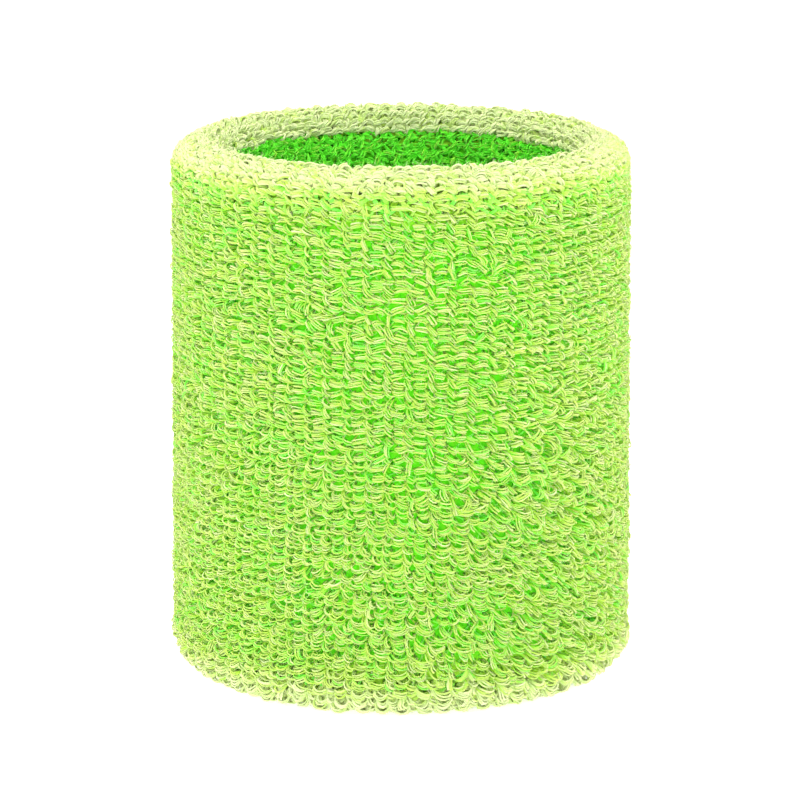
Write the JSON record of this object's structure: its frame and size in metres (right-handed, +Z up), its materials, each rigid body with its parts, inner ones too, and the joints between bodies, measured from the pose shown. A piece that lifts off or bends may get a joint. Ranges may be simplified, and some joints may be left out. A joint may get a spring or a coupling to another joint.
{
  "type": "sweat wristband",
  "caption": "Terry-knit sweat wristband: a looped tube folded double, with elastic inside, open at both ends for the wrist.",
  "frame": {"origin": "middle of the base, on the plane the band stands on", "axes": "+Z up along the axis of the wrist opening; X and Y across the opening"},
  "size_m": [0.066, 0.066, 0.076],
  "materials": {
    "terry_pile": "soft cotton terry loops, neon lime",
    "ground_knit": "plain knit ground, deeper lime",
    "elastic_yarn": "covered elastic yarn, pale lime",
    "seam_thread": "twisted polyester sewing thread, lime"
  },
  "bodies": {
    "root": {"outer_wall_pile": "terry_pile", "top_fold_pile": "terry_pile", "bottom_fold_pile": "terry_pile", "inner_wall_pile_upper": "terry_pile", "inner_wall_pile_lower": "terry_pile", "outer_wall_ground": "ground_knit", "top_fold_ground": "ground_knit", "bottom_fold_ground": "ground_knit", "inner_wall_ground_upper": "ground_knit", "inner_wall_ground_lower": "ground_knit", "seam_allowance_upper": "ground_knit", "seam_allowance_lower": "ground_knit", "elastic_yarn": "elastic_yarn", "seam_needle_thread": "seam_thread", "seam_looper_thread": "seam_thread"}
  },
  "joints": []
}
